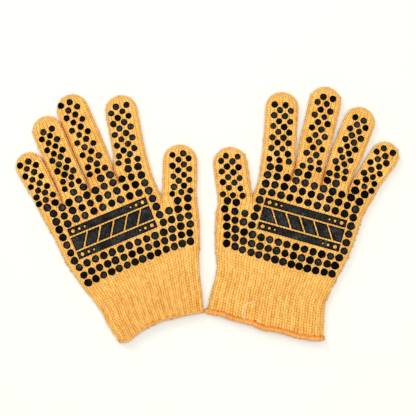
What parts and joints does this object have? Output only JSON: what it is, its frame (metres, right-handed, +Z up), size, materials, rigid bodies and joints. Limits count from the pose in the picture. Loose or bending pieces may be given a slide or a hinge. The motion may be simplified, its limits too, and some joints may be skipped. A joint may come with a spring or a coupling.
{
  "type": "knitted work gloves",
  "caption": "Pair of flat knitted work gloves with ribbed elastic cuffs and raised rubber grip on the palms; fingers, thumbs and wrists fold.",
  "frame": {"origin": "centre of the pair's bounding box, on the surface that the gloves lie on", "axes": "+Z up, out of the palms; +Y towards the fingertips; +X from the right-hand glove to the left-hand glove"},
  "size_m": [0.3781, 0.2525, 0.0122],
  "materials": {
    "knit": "matt knitted cotton",
    "hem": "matt overlocked yarn",
    "elastic": "thin elastic thread",
    "grip": "soft satin rubber"
  },
  "bodies": {
    "right_palm": {"right_grip_bar_lower": "grip", "right_grip_bar_upper": "grip", "right_grip_slat_1": "grip", "right_grip_slat_2": "grip", "right_grip_slat_3": "grip", "right_grip_slat_4": "grip", "right_grip_slat_5": "grip", "right_grip_slat_6": "grip", "right_lower_palm": "knit", "right_thumb_root": "knit", "right_upper_palm": "knit"},
    "right_cuff": {"right_cuff": "knit", "right_cuff_elastic_1": "elastic", "right_cuff_elastic_2": "elastic", "right_cuff_elastic_3": "elastic", "right_cuff_elastic_4": "elastic", "right_cuff_hem": "hem"},
    "right_index_base": {"right_index_base": "knit"},
    "right_index_tip": {"right_index_tip": "knit"},
    "right_middle_base": {"right_middle_base": "knit"},
    "right_middle_tip": {"right_middle_tip": "knit"},
    "right_ring_base": {"right_ring_base": "knit"},
    "right_ring_tip": {"right_ring_tip": "knit"},
    "right_little_base": {"right_little_base": "knit"},
    "right_little_tip": {"right_little_tip": "knit"},
    "right_thumb_base": {"right_thumb_base": "knit"},
    "right_thumb_tip": {"right_thumb_tip": "knit"},
    "left_palm": {"left_grip_bar_lower": "grip", "left_grip_bar_upper": "grip", "left_grip_slat_1": "grip", "left_grip_slat_2": "grip", "left_grip_slat_3": "grip", "left_grip_slat_4": "grip", "left_grip_slat_5": "grip", "left_grip_slat_6": "grip", "left_lower_palm": "knit", "left_thumb_root": "knit", "left_upper_palm": "knit"},
    "left_cuff": {"left_cuff": "knit", "left_cuff_elastic_1": "elastic", "left_cuff_elastic_2": "elastic", "left_cuff_elastic_3": "elastic", "left_cuff_elastic_4": "elastic", "left_cuff_hem": "hem"},
    "left_index_base": {"left_index_base": "knit"},
    "left_index_tip": {"left_index_tip": "knit"},
    "left_middle_base": {"left_middle_base": "knit"},
    "left_middle_tip": {"left_middle_tip": "knit"},
    "left_ring_base": {"left_ring_base": "knit"},
    "left_ring_tip": {"left_ring_tip": "knit"},
    "left_little_base": {"left_little_base": "knit"},
    "left_little_tip": {"left_little_tip": "knit"},
    "left_thumb_base": {"left_thumb_base": "knit"},
    "left_thumb_tip": {"left_thumb_tip": "knit"}
  },
  "joints": [
    {"name": "right_wrist_fold", "type": "hinge", "parent": "right_palm", "child": "right_cuff", "pos_m": [-0.05849, -0.06582, 0.011], "axis": [-0.9239, -0.3827, 0], "range_deg": [0, 75]},
    {"name": "right_index_knuckle", "type": "hinge", "parent": "right_palm", "child": "right_index_base", "pos_m": [-0.07586, 0.05254, 0.011], "axis": [0.9239, 0.3827, 0], "range_deg": [0, 90]},
    {"name": "right_index_middle", "type": "hinge", "parent": "right_index_base", "child": "right_index_tip", "pos_m": [-0.08123, 0.08155, 0.011], "axis": [0.9833, 0.1822, 0], "range_deg": [0, 100]},
    {"name": "right_middle_knuckle", "type": "hinge", "parent": "right_palm", "child": "right_middle_base", "pos_m": [-0.10598, 0.04007, 0.011], "axis": [0.9239, 0.3827, 0], "range_deg": [0, 90]},
    {"name": "right_middle_middle", "type": "hinge", "parent": "right_middle_base", "child": "right_middle_tip", "pos_m": [-0.12101, 0.07497, 0.011], "axis": [0.9184, 0.3955, 0], "range_deg": [0, 100]},
    {"name": "right_ring_knuckle", "type": "hinge", "parent": "right_palm", "child": "right_ring_base", "pos_m": [-0.13369, 0.02858, 0.011], "axis": [0.9239, 0.3827, 0], "range_deg": [0, 90]},
    {"name": "right_ring_middle", "type": "hinge", "parent": "right_ring_base", "child": "right_ring_tip", "pos_m": [-0.1468, 0.05887, 0.011], "axis": [0.9178, 0.3972, 0], "range_deg": [0, 100]},
    {"name": "right_little_knuckle", "type": "hinge", "parent": "right_palm", "child": "right_little_base", "pos_m": [-0.15938, 0.01795, 0.011], "axis": [0.9239, 0.3827, 0], "range_deg": [0, 90]},
    {"name": "right_little_middle", "type": "hinge", "parent": "right_little_base", "child": "right_little_tip", "pos_m": [-0.17038, 0.037, 0.011], "axis": [0.866, 0.5, 0], "range_deg": [0, 100]},
    {"name": "right_thumb_knuckle", "type": "hinge", "parent": "right_palm", "child": "right_thumb_base", "pos_m": [-0.02754, 0.02432, 0.011], "axis": [0.9998, -0.0174, 0], "range_deg": [0, 60]},
    {"name": "right_thumb_middle", "type": "hinge", "parent": "right_thumb_base", "child": "right_thumb_tip", "pos_m": [-0.02718, 0.04532, 0.011], "axis": [0.9998, -0.0174, 0], "range_deg": [0, 80]},
    {"name": "left_wrist_fold", "type": "hinge", "parent": "left_palm", "child": "left_cuff", "pos_m": [0.06494, -0.06303, 0.011], "axis": [-0.9622, 0.2723, 0], "range_deg": [0, 75]},
    {"name": "left_index_knuckle", "type": "hinge", "parent": "left_palm", "child": "left_index_base", "pos_m": [0.07064, 0.05591, 0.011], "axis": [0.9622, -0.2723, 0], "range_deg": [0, 90]},
    {"name": "left_index_middle", "type": "hinge", "parent": "left_index_base", "child": "left_index_tip", "pos_m": [0.07245, 0.08535, 0.011], "axis": [0.9981, -0.0611, 0], "range_deg": [0, 100]},
    {"name": "left_middle_knuckle", "type": "hinge", "parent": "left_palm", "child": "left_middle_base", "pos_m": [0.10144, 0.0472, 0.011], "axis": [0.9622, -0.2723, 0], "range_deg": [0, 90]},
    {"name": "left_middle_middle", "type": "hinge", "parent": "left_middle_base", "child": "left_middle_tip", "pos_m": [0.11011, 0.08419, 0.011], "axis": [0.9736, -0.2283, 0], "range_deg": [0, 100]},
    {"name": "left_ring_knuckle", "type": "hinge", "parent": "left_palm", "child": "left_ring_base", "pos_m": [0.12963, 0.03922, 0.011], "axis": [0.9622, -0.2723, 0], "range_deg": [0, 90]},
    {"name": "left_ring_middle", "type": "hinge", "parent": "left_ring_base", "child": "left_ring_tip", "pos_m": [0.14178, 0.0699, 0.011], "axis": [0.9298, -0.3681, 0], "range_deg": [0, 100]},
    {"name": "left_little_knuckle", "type": "hinge", "parent": "left_palm", "child": "left_little_base", "pos_m": [0.15724, 0.0314, 0.011], "axis": [0.9622, -0.2723, 0], "range_deg": [0, 90]},
    {"name": "left_little_middle", "type": "hinge", "parent": "left_little_base", "child": "left_little_tip", "pos_m": [0.16964, 0.04958, 0.011], "axis": [0.8261, -0.5635, 0], "range_deg": [0, 100]},
    {"name": "left_thumb_knuckle", "type": "hinge", "parent": "left_palm", "child": "left_thumb_base", "pos_m": [0.02634, 0.02214, 0.011], "axis": [0.991, 0.134, 0], "range_deg": [0, 60]},
    {"name": "left_thumb_middle", "type": "hinge", "parent": "left_thumb_base", "child": "left_thumb_tip", "pos_m": [0.02352, 0.04295, 0.011], "axis": [0.991, 0.134, 0], "range_deg": [0, 80]},
    {"name": "left_glove_lift", "type": "slide", "parent": "right_palm", "child": "left_palm", "axis": [0, 0, 1], "range_m": [0, 0.3]}
  ]
}
